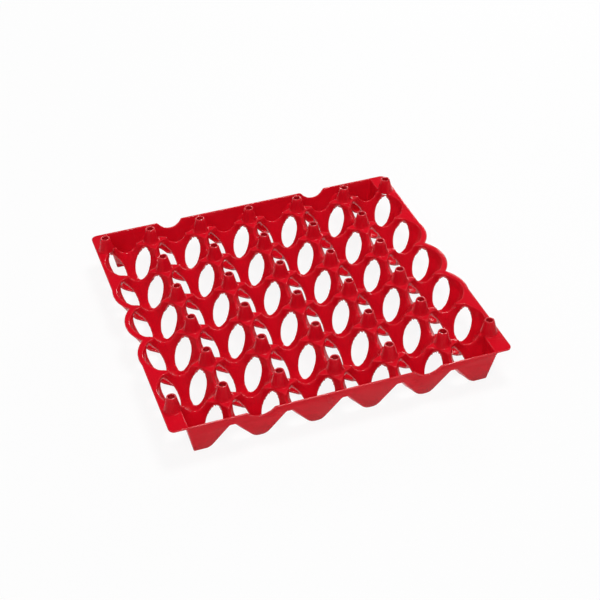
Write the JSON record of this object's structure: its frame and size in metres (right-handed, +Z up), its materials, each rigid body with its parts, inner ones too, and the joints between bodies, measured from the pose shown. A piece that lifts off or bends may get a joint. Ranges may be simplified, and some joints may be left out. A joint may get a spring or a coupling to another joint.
{
  "type": "plastic egg tray",
  "caption": "Stacking egg tray moulded in one piece: round openwork cups in a grid, hollow stacking posts between them, a flat side flange and scalloped end walls.",
  "frame": {"origin": "middle of the tray, in the plane of the feet under the cups", "axes": "+Z up; +X along the rows of six cups; +Y from front to back along the rows of five cups"},
  "size_m": [0.3016, 0.2976, 0.0465],
  "materials": {
    "red_plastic": "semi-gloss moulded plastic"
  },
  "bodies": {
    "root": {"egg_tray": "red_plastic"}
  },
  "joints": []
}
